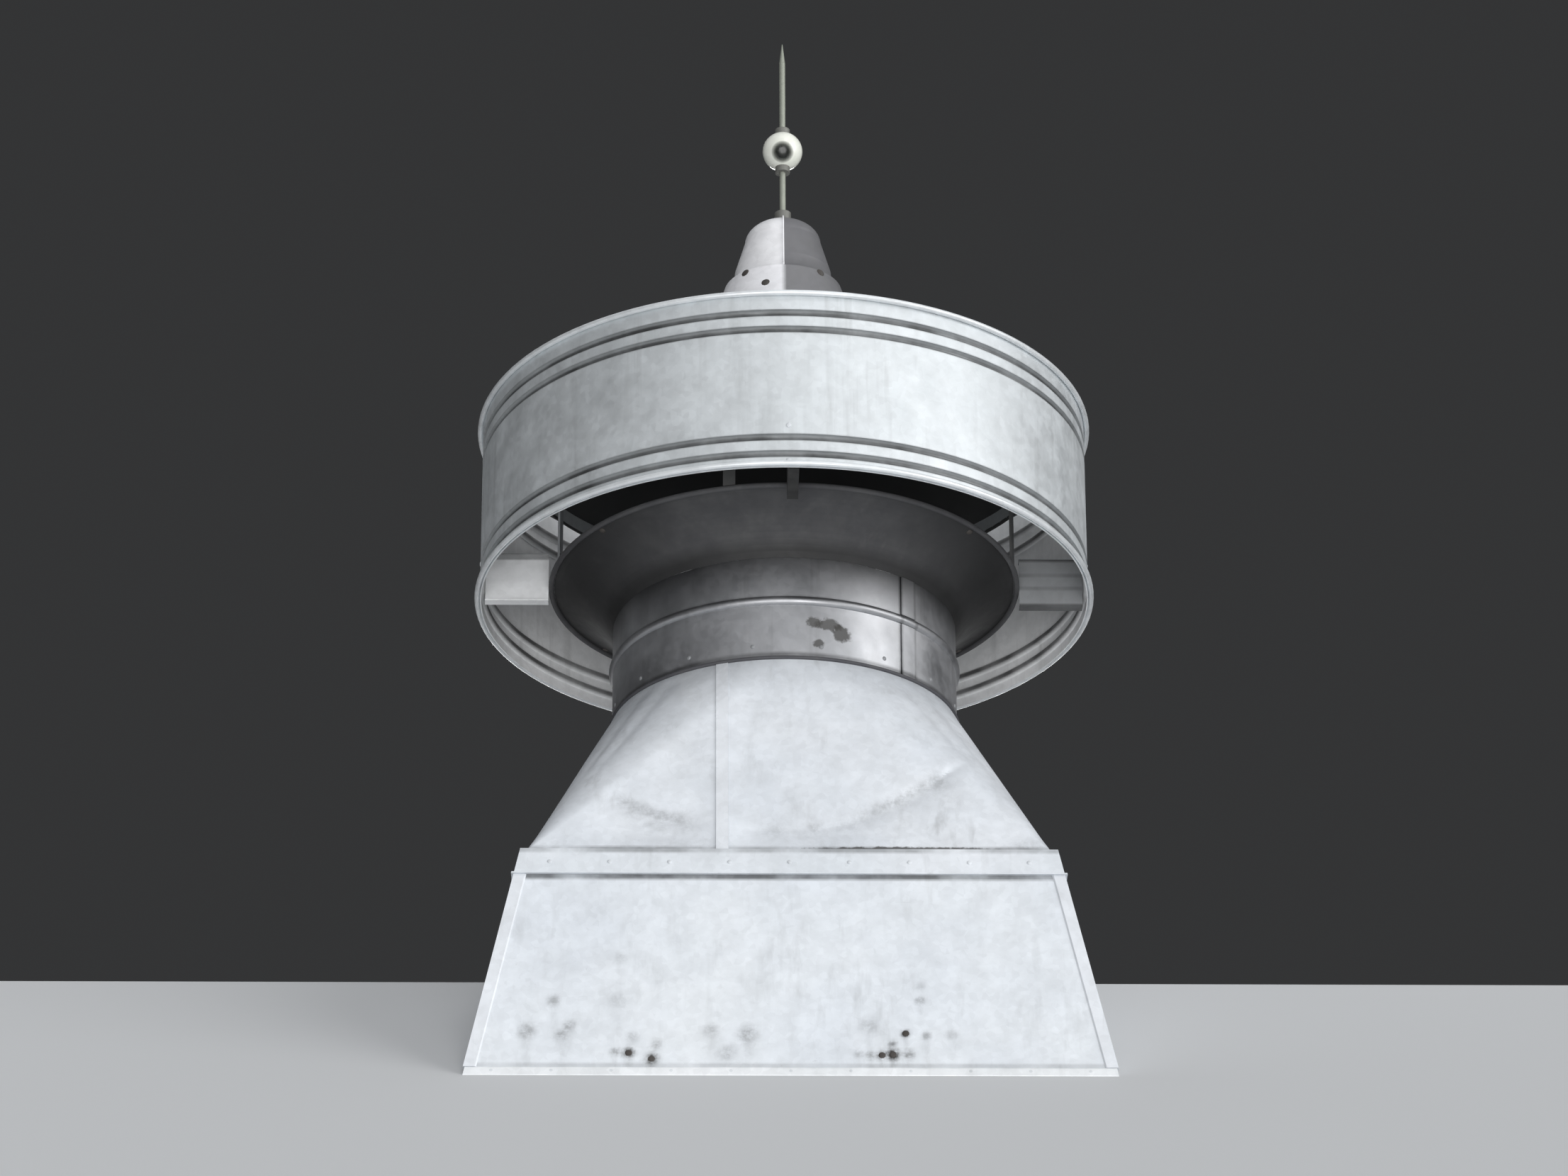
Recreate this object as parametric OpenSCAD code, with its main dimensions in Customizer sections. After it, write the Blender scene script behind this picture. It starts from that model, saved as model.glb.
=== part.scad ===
// Sheet-metal ridge ventilator (roof cupola): a square base that straddles a roof ridge,
// a square-to-round transition, a round throat with a flared mouth, a wind band around a
// conical storm cap, and a finial that carries a lightning rod with a glass ball.
// Millimetres. The origin is the middle of the base, level with its lower edges.
// The ridge runs along X, the front faces -Y, and +Z is up.

/* [Sheet and fits] */
// Thickness of the sheet metal as modelled
sheet = 3; // [2:0.5:5]
// Gap left between pieces that rest on or lap over each other
seat_gap = 0.3; // [0.2:0.05:0.5]

/* [Base] */
// Width of the base across its lower edges
base_w = 1336; // [1250:1:1500]
// Distance that each side of the base leans in from its lower edge to its top
base_lean = 109; // [80:1:140]
// Pitch of the roof that the base straddles, in degrees
roof_pitch = 35.5; // [25:0.5:45]
// Height of side sheet left above the top of the ridge notch
ridge_cover = 68; // [66:1:120]
// Height of the folded hem along the lower front and back edges
hem_h = 20; // [12:1:35]
// Width of each leg of the hip seams
hip_leg = 24; // [15:1:40]
// Height of the cleats around the top of the base
cleat_h = 60; // [30:1:64]
// Width of the ledge that the cleats turn in under the transition
ledge_w = 42; // [36:1:60]
// Width of the lip that the cleats turn out along their lower edges
cleat_lip = 5; // [3:1:12]

/* [Transition] */
// Height of the square-to-round transition
transition_h = 522; // [400:1:700]
// Inset of the transition's foot from the outer edge of the ledge
foot_inset = 14; // [10:1:20]
// Distance of the vertical seams to the left of the middle
seam_offset = 140; // [60:1:200]
// Width of the strips that lap the transition's and the band's seams
seam_w = 26; // [16:1:40]

/* [Throat] */
// Outer diameter of the throat tube
throat_d = 762; // [650:1:850]
// Height of the throat tube above the transition
throat_h = 245; // [200:1:350]
// Length of throat tube that slips down inside the transition
throat_lap = 22; // [10:1:40]
// Radius of the wired edge around the top of the transition
neck_roll_r = 4; // [3:0.5:8]
// Radius of the swaged beads
bead_r = 8; // [5:0.5:10]
// Height of the throat's bead above the transition
throat_bead_up = 142; // [60:1:160]
// Distance that the mouth flares out past the throat, all round
mouth_flare = 132; // [95:1:160]
// Height of the flared mouth
mouth_h = 106; // [80:1:150]
// Angle of the mouth's wall from vertical where it leaves the throat
flare_start = 30; // [10:1:40]
// Width of the strip that laps the throat's seam
throat_seam_w = 42; // [20:1:60]
// Angle of the throat's lap seam from the front towards +X, in degrees
throat_seam_at = 44; // [0:1:60]

/* [Wind band] */
// Width of the air ring between the mouth's edge and the outside of the wind band
ring_w = 165; // [140:1:220]
// Height of the wind band
band_h = 426; // [360:1:500]
// Distance that the wind band hangs below the mouth's edge
band_drop = 37; // [10:1:60]
// Radius of the rolled edges
roll_r = 6; // [4:0.5:9]
// Height of the lowest bead above the band's lower edge
bead_edge = 32; // [25:1:45]
// Distance of the topmost bead below the band's upper edge
bead_drop = 52; // [25:1:70]
// Spacing of the two beads in each pair
bead_pitch = 40; // [30:1:60]
// Height of the brackets between the mouth and the band
bracket_h = 116; // [80:1:140]
// Width of the brackets' folded flanges
bracket_flange = 24; // [12:1:40]
// Angle of the first bracket from the front towards +X, in degrees
bracket_at = 0; // [-10:1:10]

/* [Storm cap] */
// Distance that the storm cap reaches past the mouth's edge
cap_reach = 87; // [60:1:110]
// Clear height between the mouth's edge and the cap's edge
cap_gap = 360; // [300:1:420]
// Slope of the storm cap, in degrees
cap_pitch = 30; // [22:1:35]
// Height of the cap's turned-down rim
cap_rim_h = 30; // [20:1:60]
// Radius of the roll along the rim's lower edge
drip_r = 5; // [4:0.5:7]
// Width of the flat struts that hold the cap
strut_w = 27; // [15:1:50]
// Thickness of the flat struts
strut_t = 5; // [4:0.5:8]
// Angle of the first strut from the front towards +X, in degrees
strut_at = 76; // [10:1:80]

/* [Finial] */
// Radius of the finial's conical foot on the cap
foot_r = 185; // [160:1:210]
// Radius at the top of the conical foot
waist_r = 134; // [124:1:150]
// Height of the conical foot
foot_h = 152; // [120:1:210]
// Radius of the bell just above its flare
bell_r = 110; // [92:1:118]
// Height of the bell's flare
flare_h = 46; // [30:1:70]
// Height of the bell's side between its flare and its dome
bell_side_h = 78; // [40:1:100]
// Radius of the bell at the foot of its dome
dome_r = 87; // [70:1:90]
// Height of the bell's dome
dome_h = 55; // [45:1:80]
// Height of the finial's standing seam above its surface
finial_seam_h = 5; // [3:0.5:8]

/* [Lightning rod] */
// Diameter of the lightning rod
rod_d = 14; // [10:0.5:18]
// Height of the rod from the finial to its point
rod_h = 481; // [380:1:600]
// Height of the rod's pointed end
point_h = 52; // [30:1:80]
// Radius of the socket on top of the finial
socket_r = 19; // [15:0.5:24]
// Height of the socket
socket_h = 28; // [15:1:40]
// Diameter of the glass ball
ball_d = 92; // [80:1:115]
// Height of the ball's middle above the finial
ball_up = 193; // [150:1:230]
// Wall of the glass ball
glass_t = 3; // [2.5:0.5:5]
// Radius of the collars above and below the ball
collar_r = 17; // [14:0.5:22]
// Height of each collar
collar_h = 14; // [8:1:20]

/* [Hidden] */

$fn = 96;
// Segments of the arcs that are worked out point by point
arc_steps = 12;
// Reach of cutting bodies past what they cut
over = 50;
// Angle between neighbouring brackets and between neighbouring struts, four of each
brace_step = 90;

// Base: half widths, lean of the sheets and the roof that cuts their lower edges
base_half = base_w / 2;
top_half = base_half - base_lean;
seat_half = base_half + sheet;
notch_rise = seat_half * tan(roof_pitch);
skirt_h = notch_rise + ridge_cover;
lean = atan(base_lean / skirt_h);
// Horizontal width of one sheet in a leaning side
sheet_across = sheet / cos(lean);
gap_across = seat_gap / cos(lean);

// Heights of the stacked pieces
ledge_z = skirt_h + seat_gap;
foot_z = ledge_z + sheet + seat_gap;
neck_z = foot_z + transition_h;
mouth_z = neck_z + throat_h;
mouth_edge_z = mouth_z + seat_gap + mouth_h;
band_z = mouth_edge_z - band_drop;
cap_z = mouth_edge_z + roll_r + cap_gap;

// Radii, each ring from the one inside it
throat_r = throat_d / 2;
neck_in_r = throat_r + seat_gap;
neck_r = neck_in_r + sheet;
mouth_r = throat_r + mouth_flare;
rim_ring_r = mouth_r + seat_gap + roll_r;
band_r = mouth_r + ring_w;
// Innermost reach of the band's beads
band_clear_r = band_r - bead_r - sheet;
cap_r = mouth_r + cap_reach;

// Transition: outer half width of its square foot
foot_half = top_half + gap_across + sheet_across - foot_inset;

// Finial and rod
function cone_z(r) = cap_z + (cap_r - r) * tan(cap_pitch);
finial_z = cone_z(foot_r) + seat_gap;
bell_z = finial_z + foot_h + seat_gap;
side_z = bell_z + flare_h;
dome_z = side_z + bell_side_h;
bell_top_z = dome_z + dome_h;
socket_z = bell_top_z + seat_gap;
rod_z = socket_z + sheet;
rod_r = rod_d / 2;
rod_hole_r = rod_r + seat_gap;
rod_top_z = bell_top_z + rod_h;
ball_z = bell_top_z + ball_up;
ball_r = ball_d / 2;
// Height at which a collar's rim meets the ball, from the ball's middle
collar_seat = sqrt((ball_r + seat_gap) * (ball_r + seat_gap) - collar_r * collar_r);

// Points of an arc about [x, y], from one angle to another
function arc_points(x, y, r, from, to) =
  [for (i = [0:arc_steps]) let (a = from + (to - from) * i / arc_steps) [x + r * cos(a), y + r * sin(a)]];

// Points of an arc from [r0, z0] out to [r1, z1] that starts at an angle from vertical,
// moved towards the axis by a wall
function flare_points(r0, z0, r1, z1, start, wall = 0) =
  let (chord = sqrt((r1 - r0) * (r1 - r0) + (z1 - z0) * (z1 - z0)))
  let (slope = atan((r1 - r0) / (z1 - z0)))
  let (turn = 2 * (slope - start))
  let (radius = chord / (2 * sin(turn / 2)))
  let (cx = r0 + radius * cos(start))
  let (cz = z0 - radius * sin(start))
  arc_points(cx, cz, radius + wall, 180 - start, 180 - start - turn);

function reversed(points) = [for (i = [len(points) - 1:-1:0]) points[i]];

// Turns a piece from the front round to an angle towards +X
module facing(angle) {
  rotate([0, 0, angle]) children();
}

// Everything below the roof's surface
module roof() {
  rotate([90, 0, 90])
    linear_extrude(height = 2 * (base_half + over), center = true)
      polygon([
        [-seat_half - over, -over * tan(roof_pitch)],
        [0, notch_rise],
        [seat_half + over, -over * tan(roof_pitch)],
        [seat_half + over, -3 * over],
        [-seat_half - over, -3 * over]
      ]);
}

// The front quarter of the plan, mitred to its neighbours
module front_quarter(low, high) {
  reach = base_half + over;
  translate([0, 0, low])
    linear_extrude(height = high - low)
      polygon([[0, -seat_gap], [reach, -reach - seat_gap], [-reach, -reach - seat_gap]]);
}

// A long bar of constant section across the front; the section is in Y and Z
module front_bar(section) {
  rotate([90, 0, 90])
    linear_extrude(height = 2 * (base_half + over), center = true)
      polygon(section);
}

// Outer face of the skirt at a height, moved out by a horizontal distance
function skirt_y(z, out = 0) = -(base_half - z * tan(lean)) - out;

// One side of the skirt as seen from the front, before the roof cuts it; a hem is
// folded outwards and stands out by one sheet
module skirt_sheet(hem) {
  hem_out = hem ? sheet : 0;
  intersection() {
    front_bar([
      [skirt_y(-over, hem_out), -over],
      [skirt_y(hem_h, hem_out), hem_h],
      [skirt_y(hem_h), hem_h],
      [skirt_y(skirt_h), skirt_h],
      [skirt_y(skirt_h, -sheet_across), skirt_h],
      [skirt_y(-over, -sheet_across), -over]
    ]);
    front_quarter(-over, skirt_h);
  }
}

module skirt_side(angle, hem) {
  difference() {
    facing(angle) skirt_sheet(hem);
    roof();
  }
}

module skirt_front() {
  color("gainsboro") skirt_side(0, true);
}

module skirt_right() {
  color("gainsboro") skirt_side(90, false);
}

module skirt_back() {
  color("gainsboro") skirt_side(180, true);
}

module skirt_left() {
  color("gainsboro") skirt_side(270, false);
}

// One leg of the seam over the hip at the front left
module hip_seam_leg() {
  inner = gap_across;
  outer = gap_across + sheet_across;
  low = hem_h + seat_gap;
  high = skirt_h - cleat_h - seat_gap;
  reach = base_half + over;
  intersection() {
    front_bar([
      [skirt_y(low, inner), low],
      [skirt_y(low, outer), low],
      [skirt_y(high, outer), high],
      [skirt_y(high, inner), high]
    ]);
    translate([0, 0, low])
      linear_extrude(height = high - low)
        polygon([[-reach, -reach], [0, 0], [hip_leg, 0], [hip_leg - reach, -reach]]);
  }
}

module hip_seam(angle) {
  color("whitesmoke")
    difference() {
      facing(angle)
        union() {
          hip_seam_leg();
          mirror([1, -1, 0]) hip_seam_leg();
        }
      roof();
    }
}

module hip_seam_front_left() {
  hip_seam(0);
}

module hip_seam_front_right() {
  hip_seam(90);
}

module hip_seam_back_right() {
  hip_seam(180);
}

module hip_seam_back_left() {
  hip_seam(270);
}

// Cleat that laps the top of one side and turns in as a ledge for the transition
module cleat(angle) {
  inner = gap_across;
  outer = gap_across + sheet_across;
  low = skirt_h - cleat_h;
  high = ledge_z + sheet;
  color("lightgray")
    facing(angle)
      intersection() {
        front_bar([
          [skirt_y(low, inner), low],
          [skirt_y(low, outer + cleat_lip), low],
          [skirt_y(low + sheet, outer + cleat_lip), low + sheet],
          [skirt_y(low + sheet, outer), low + sheet],
          [skirt_y(high, outer), high],
          [skirt_y(high, outer - ledge_w), high],
          [skirt_y(high, outer - ledge_w), ledge_z],
          [skirt_y(ledge_z, inner), ledge_z]
        ]);
        front_quarter(low, high);
      }
}

module cleat_front() {
  cleat(0);
}

module cleat_right() {
  cleat(90);
}

module cleat_back() {
  cleat(180);
}

module cleat_left() {
  cleat(270);
}

// Solid square-to-round form, offset outwards all round and lengthened at both ends
module square_to_round(out, longer) {
  lip = 2;
  half = foot_half + out;
  hull() {
    translate([-half, -half, foot_z - longer]) cube([2 * half, 2 * half, lip + longer]);
    translate([0, 0, neck_z - lip]) cylinder(h = lip + longer, r = neck_r + out);
  }
}

module transition_shell() {
  difference() {
    square_to_round(0, 0);
    square_to_round(-sheet, 1);
  }
}

// Half of the transition on one side of its seams
module transition_half(low_x, high_x) {
  reach = base_w;
  intersection() {
    transition_shell();
    translate([low_x, -reach, foot_z - over]) cube([high_x - low_x, 2 * reach, transition_h + 2 * over]);
  }
}

module transition_left() {
  color("gainsboro") transition_half(-base_w, -seam_offset - seat_gap / 2);
}

module transition_right() {
  color("gainsboro") transition_half(-seam_offset + seat_gap / 2, base_w);
}

// Strip that laps the transition's seam on the front or on the back
module transition_seam(low_y, high_y) {
  color("whitesmoke")
    intersection() {
      difference() {
        square_to_round(seat_gap + sheet, 0);
        square_to_round(seat_gap, 1);
      }
      translate([-seam_offset - seam_w / 2, low_y, foot_z + seat_gap])
        cube([seam_w, high_y - low_y, transition_h - 2 * seat_gap]);
    }
}

module transition_seam_front() {
  transition_seam(-base_w, 0);
}

module transition_seam_back() {
  transition_seam(0, base_w);
}

// Wired edge on top of the transition, close around the throat
module throat_collar() {
  color("silver")
    rotate_extrude()
      difference() {
        translate([neck_r, neck_z + seat_gap + neck_roll_r]) circle(r = neck_roll_r);
        translate([0, neck_z - over]) square([neck_in_r, 2 * over]);
      }
}

// Section of a round wall with beads swaged outwards (side 1) or inwards (side -1)
module beaded_wall(r, low, high, beads, side) {
  face = side > 0 ? r - sheet : r;
  difference() {
    union() {
      translate([r - sheet, low]) square([sheet, high - low]);
      for (z = beads)
        intersection() {
          translate([face, z]) circle(r = bead_r + sheet);
          translate([side > 0 ? face : face - bead_r - sheet, z - bead_r - sheet])
            square([bead_r + sheet, 2 * (bead_r + sheet)]);
        }
    }
    for (z = beads) translate([face, z]) circle(r = bead_r);
  }
}

module throat_tube() {
  color("silver")
    rotate_extrude()
      beaded_wall(throat_r, neck_z - throat_lap, mouth_z, [neck_z + throat_bead_up], 1);
}

// Lap strip up the outside of the throat, in two lengths that stop at the bead
module throat_seam() {
  width = throat_seam_w / throat_r * 180 / PI;
  bead_z = neck_z + throat_bead_up;
  bead_reach = bead_r + sheet + seat_gap;
  first_z = neck_z + 2 * neck_roll_r + 2 * seat_gap;
  last_z = mouth_z - 2 * seat_gap;
  color("whitesmoke")
    rotate([0, 0, throat_seam_at - 90 - width / 2])
      rotate_extrude(angle = width)
        for (span = [[first_z, bead_z - bead_reach], [bead_z + bead_reach, last_z]])
          translate([throat_r + seat_gap, span[0]]) square([sheet, span[1] - span[0]]);
}

// Flared mouth on top of the throat, curved outwards to its edge
module flared_mouth() {
  low = mouth_z + seat_gap;
  color("dimgray")
    rotate_extrude()
      polygon(concat(
        flare_points(throat_r, low, mouth_r, mouth_edge_z, flare_start),
        reversed(flare_points(throat_r, low, mouth_r, mouth_edge_z, flare_start, sheet))
      ));
}

module mouth_rim() {
  color("silver")
    rotate_extrude()
      translate([rim_ring_r, mouth_edge_z]) circle(r = roll_r);
}

module wind_band() {
  top = band_z + band_h;
  lowest = band_z + bead_edge;
  topmost = top - bead_drop;
  color("lightsteelblue")
    rotate_extrude()
      beaded_wall(band_r, band_z, top, [lowest, lowest + bead_pitch, topmost - bead_pitch, topmost], -1);
}

// Rolled edge outside the band's wall
module band_roll(z) {
  color("whitesmoke")
    rotate_extrude()
      translate([band_r + seat_gap + roll_r, z]) circle(r = roll_r);
}

module band_top_roll() {
  band_roll(band_z + band_h - roll_r);
}

module band_bottom_roll() {
  band_roll(band_z + roll_r);
}

// Lap strip over the band's joint at the back
module band_seam() {
  width = seam_w / band_r * 180 / PI;
  low = band_z + bead_edge + bead_pitch + bead_r + seat_gap;
  high = band_z + band_h - bead_drop - bead_pitch - bead_r - seat_gap;
  color("whitesmoke")
    rotate([0, 0, 90 - width / 2])
      rotate_extrude(angle = width)
        translate([band_r + seat_gap, low]) square([sheet, high - low]);
}

// Folded bracket from the mouth's rim out to the wind band
module band_bracket(index) {
  inner = rim_ring_r + roll_r + seat_gap;
  outer = band_clear_r - seat_gap;
  color("gray")
    facing(bracket_at + index * brace_step)
      intersection() {
        union() {
          translate([-sheet / 2, -outer, band_z]) cube([sheet, outer - inner, bracket_h]);
          for (z = [band_z, band_z + bracket_h - sheet])
            translate([-sheet / 2, -outer, z]) cube([bracket_flange, outer - inner, sheet]);
        }
        difference() {
          translate([0, 0, band_z - over]) cylinder(h = bracket_h + 2 * over, r = outer);
          translate([0, 0, band_z - 2 * over]) cylinder(h = bracket_h + 4 * over, r = inner);
        }
      }
}

module band_bracket_1() {
  band_bracket(0);
}

module band_bracket_2() {
  band_bracket(1);
}

module band_bracket_3() {
  band_bracket(2);
}

module band_bracket_4() {
  band_bracket(3);
}

// Vertical thickness of the storm cap's sheet
cap_sheet = sheet / cos(cap_pitch);

// Solid cone under the storm cap's outer face, moved down by a vertical distance
module cap_form(down) {
  translate([0, 0, cap_z - down]) cylinder(h = cap_r * tan(cap_pitch), r1 = cap_r, r2 = 0);
}

// Flat strut from the mouth's rim to the underside of the cap
module cap_strut(index) {
  low = mouth_edge_z + roll_r + seat_gap;
  eave_z = cap_z - cap_sheet - seat_gap;
  color("gray")
    facing(strut_at + index * brace_step)
      intersection() {
        translate([-strut_w / 2, -rim_ring_r - strut_t / 2, low]) cube([strut_w, strut_t, cap_r]);
        rotate_extrude()
          polygon([[0, low], [cap_r, low], [cap_r, eave_z], [0, eave_z + cap_r * tan(cap_pitch)]]);
      }
}

module cap_strut_1() {
  cap_strut(0);
}

module cap_strut_2() {
  cap_strut(1);
}

module cap_strut_3() {
  cap_strut(2);
}

module cap_strut_4() {
  cap_strut(3);
}

module cap_cone() {
  color("lightgray")
    difference() {
      cap_form(0);
      cap_form(cap_sheet);
    }
}

// Turned-down rim under the cap's edge, rolled outwards along its lower edge
module cap_rim() {
  top = cap_z - seat_gap;
  color("silver")
    rotate_extrude() {
      translate([cap_r - sheet, top - cap_rim_h]) square([sheet, cap_rim_h]);
      translate([cap_r - sheet + drip_r, top - cap_rim_h]) circle(r = drip_r);
    }
}

module finial_foot() {
  color("silver")
    rotate_extrude()
      polygon([
        [foot_r, cone_z(foot_r) + seat_gap],
        [waist_r, finial_z + foot_h],
        [waist_r - sheet, finial_z + foot_h],
        [foot_r - sheet, cone_z(foot_r - sheet) + seat_gap]
      ]);
}

// Outline of the bell from its foot to its top, moved towards the axis by a wall
function bell_outline(wall) = concat(
  [for (p = reversed(flare_points(bell_r, -side_z, waist_r, -bell_z, 0, wall))) [p[0], -p[1]]],
  [for (i = [0:arc_steps]) let (a = 90 * i / arc_steps)
    [i < arc_steps ? (dome_r - wall) * cos(a) : 0, dome_z + (dome_h - wall) * sin(a)]]
);

module bell_half(start) {
  rotate([0, 0, start])
    rotate_extrude(angle = 180)
      polygon(concat(bell_outline(0), reversed(bell_outline(sheet))));
}

module finial_left() {
  color("whitesmoke") bell_half(90);
}

module finial_right() {
  color("darkgray") bell_half(270);
}

// Standing seam down the front and the back of the bell, clear of the rod's socket
module finial_seam() {
  color("white")
    for (side = [0, 180])
      rotate([90, 0, side - 90])
        linear_extrude(height = sheet, center = true)
          difference() {
            polygon(concat(bell_outline(-finial_seam_h), reversed(bell_outline(-seat_gap))));
            translate([-over, dome_z]) square([over + socket_r + finial_seam_h, 2 * over]);
          }
}

module rod_socket() {
  color("dimgray")
    difference() {
      translate([0, 0, socket_z]) cylinder(h = socket_h, r = socket_r);
      translate([0, 0, rod_z - seat_gap]) cylinder(h = socket_h, r = rod_hole_r);
    }
}

module lightning_rod() {
  color("darkgray")
    translate([0, 0, rod_z]) cylinder(h = rod_top_z - point_h - rod_z, r = rod_r);
}

module ball_collar(side) {
  color("dimgray")
    difference() {
      translate([0, 0, side > 0 ? ball_z + collar_seat : ball_z - collar_seat - collar_h])
        cylinder(h = collar_h, r = collar_r);
      translate([0, 0, ball_z]) sphere(r = ball_r + seat_gap);
      translate([0, 0, ball_z - ball_d]) cylinder(h = 2 * ball_d, r = rod_hole_r);
    }
}

module ball_collar_lower() {
  ball_collar(-1);
}

module ball_collar_upper() {
  ball_collar(1);
}

module glass_ball() {
  color("ivory")
    translate([0, 0, ball_z])
      difference() {
        sphere(r = ball_r);
        sphere(r = ball_r - glass_t);
        translate([0, 0, -ball_d]) cylinder(h = 2 * ball_d, r = rod_hole_r);
      }
}

module rod_point() {
  color("silver")
    translate([0, 0, rod_top_z - point_h + seat_gap]) cylinder(h = point_h - seat_gap, r1 = rod_r, r2 = 1);
}

skirt_front();
skirt_back();
skirt_left();
skirt_right();
hip_seam_front_left();
hip_seam_front_right();
hip_seam_back_right();
hip_seam_back_left();
cleat_front();
cleat_right();
cleat_back();
cleat_left();
transition_left();
transition_right();
transition_seam_front();
transition_seam_back();
throat_collar();
throat_tube();
throat_seam();
flared_mouth();
mouth_rim();
wind_band();
band_top_roll();
band_bottom_roll();
band_seam();
band_bracket_1();
band_bracket_2();
band_bracket_3();
band_bracket_4();
cap_strut_1();
cap_strut_2();
cap_strut_3();
cap_strut_4();
cap_cone();
cap_rim();
finial_foot();
finial_left();
finial_right();
finial_seam();
rod_socket();
lightning_rod();
ball_collar_lower();
glass_ball();
ball_collar_upper();
rod_point();
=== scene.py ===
import math
import random
from collections import namedtuple

import bmesh
import bpy
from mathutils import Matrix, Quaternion, Vector, noise
from mathutils.bvhtree import BVHTree


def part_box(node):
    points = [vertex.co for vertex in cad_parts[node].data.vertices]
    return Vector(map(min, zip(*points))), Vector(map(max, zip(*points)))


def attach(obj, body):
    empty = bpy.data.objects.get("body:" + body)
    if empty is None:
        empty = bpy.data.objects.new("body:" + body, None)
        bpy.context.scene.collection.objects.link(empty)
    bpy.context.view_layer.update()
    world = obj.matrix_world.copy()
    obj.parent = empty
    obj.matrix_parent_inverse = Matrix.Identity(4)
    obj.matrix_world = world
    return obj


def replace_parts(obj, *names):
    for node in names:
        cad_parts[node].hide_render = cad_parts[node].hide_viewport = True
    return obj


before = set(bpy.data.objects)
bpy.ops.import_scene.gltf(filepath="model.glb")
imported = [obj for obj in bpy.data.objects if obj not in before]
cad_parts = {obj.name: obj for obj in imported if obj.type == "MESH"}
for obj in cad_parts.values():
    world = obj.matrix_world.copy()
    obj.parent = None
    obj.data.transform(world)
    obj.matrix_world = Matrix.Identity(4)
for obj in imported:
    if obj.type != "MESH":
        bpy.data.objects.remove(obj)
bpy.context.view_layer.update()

# Sizes in metres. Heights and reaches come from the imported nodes, and the few that a
# box doesn't give repeat the part's own sizes.
BODY = "root"
SHEET = 0.003
GAP = 0.0003
THROAT_R = 0.381
THROAT_HEIGHT = 0.25
THROAT_BEAD_UP = 0.142
SIDE_LEAN = 0.109
NOTCH_SLOPE = math.tan(math.radians(35.5))
SEAM_X = -0.14
SEAM_HALF = 0.014
BEAD_EDGE = 0.032
BEAD_DROP = 0.052
BEAD_PITCH = 0.040
BRACKET_FOLDS = (0.044, 0.076)

skirt_low, skirt_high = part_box("skirt_front")
foot_low, foot_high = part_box("transition_right")
band_low, band_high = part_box("wind_band")
cleat_low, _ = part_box("cleat_front")
bracket_low, bracket_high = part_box("band_bracket_2")
finial_foot_low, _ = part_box("finial_foot")
_, mouth_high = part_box("flared_mouth")

SEAT_HALF = -skirt_low[1]
BASE_HALF = SEAT_HALF - SHEET
SKIRT_TOP = skirt_high[2]
LEAN_RATE = SIDE_LEAN / SKIRT_TOP
FOOT_HALF = foot_high[0]
FOOT_Z = foot_low[2]
NECK_Z = foot_high[2]
NECK_R = THROAT_R + GAP + SHEET
THROAT_BEAD = NECK_Z + THROAT_BEAD_UP
THROAT_TOP = NECK_Z + THROAT_HEIGHT
CLEAT_LOW = cleat_low[2]
BRACKET_LOW = bracket_low[2]
BRACKET_HIGH = bracket_high[2]
FINIAL_LOW = finial_foot_low[2]
MOUTH_HIGH = mouth_high[2]
BAND_R = band_high[0]
BAND_LOW = band_low[2]
BAND_TOP = band_high[2]
BEAD_HEIGHTS = [BAND_LOW + BEAD_EDGE, BAND_LOW + BEAD_EDGE + BEAD_PITCH,
                BAND_TOP - BEAD_DROP - BEAD_PITCH, BAND_TOP - BEAD_DROP]


# Helpers for shapes

def finish_mesh(name, bm, material, smooth_angle):
    """Makes an object of a bmesh, lets it ride on the body and gives it a material."""
    mesh = bpy.data.meshes.new(name)
    bmesh.ops.recalc_face_normals(bm, faces=bm.faces)
    bm.to_mesh(mesh)
    bm.free()
    piece = bpy.data.objects.new(name, mesh)
    bpy.context.scene.collection.objects.link(piece)
    mesh.materials.append(material)
    for face in mesh.polygons:
        face.use_smooth = True
    mesh.set_sharp_from_angle(angle=math.radians(smooth_angle))
    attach(piece, BODY)
    return piece


def smooth_step(value, low, high):
    """0 below one value and 1 above another, with a soft start and end."""
    t = min(1.0, max(0.0, (value - low) / (high - low)))
    return t * t * (3 - 2 * t)


def level_way(angle):
    """The level direction at an angle from the front, counted towards +X."""
    return math.sin(angle), -math.cos(angle), 0


def turn(point, quarter):
    """A point made for the front, turned to the front, right, back or left side."""
    x, y, z = point
    for _ in range(quarter):
        x, y = -y, x
    return Vector((x, y, z))


def join_rings(bm, last, ring):
    """Faces between two rings of points."""
    for k in range(len(ring)):
        n = (k + 1) % len(ring)
        bm.faces.new([last[k], last[n], ring[n], ring[k]])


def shell(bm, columns, rows, outer, inner, closed, rust):
    """A sheet with thickness over a grid; outer and inner give the two faces' points."""
    layer = bm.verts.layers.float.new("rust")
    grids = []
    for place in (outer, inner):
        grid = []
        for i in range(columns + (0 if closed else 1)):
            line = []
            for j in range(rows + 1):
                vert = bm.verts.new(place(i / columns, j / rows))
                vert[layer] = rust(i / columns, j / rows)
                line.append(vert)
            grid.append(line)
        grids.append(grid)
    outside, inside = grids
    count = len(outside)
    for grid in grids:
        for i in range(columns):
            a, b = grid[i], grid[(i + 1) % count]
            for j in range(rows):
                quad = [a[j], b[j], b[j + 1], a[j + 1]]
                bm.faces.new(quad if grid is outside else quad[::-1])
    for i in range(columns):
        n = (i + 1) % count
        for j in (0, rows):
            bm.faces.new([outside[i][j], outside[n][j], inside[n][j], inside[i][j]])
    if not closed:
        for i in (0, columns):
            for j in range(rows):
                bm.faces.new([outside[i][j], outside[i][j + 1], inside[i][j + 1], inside[i][j]])


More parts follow.
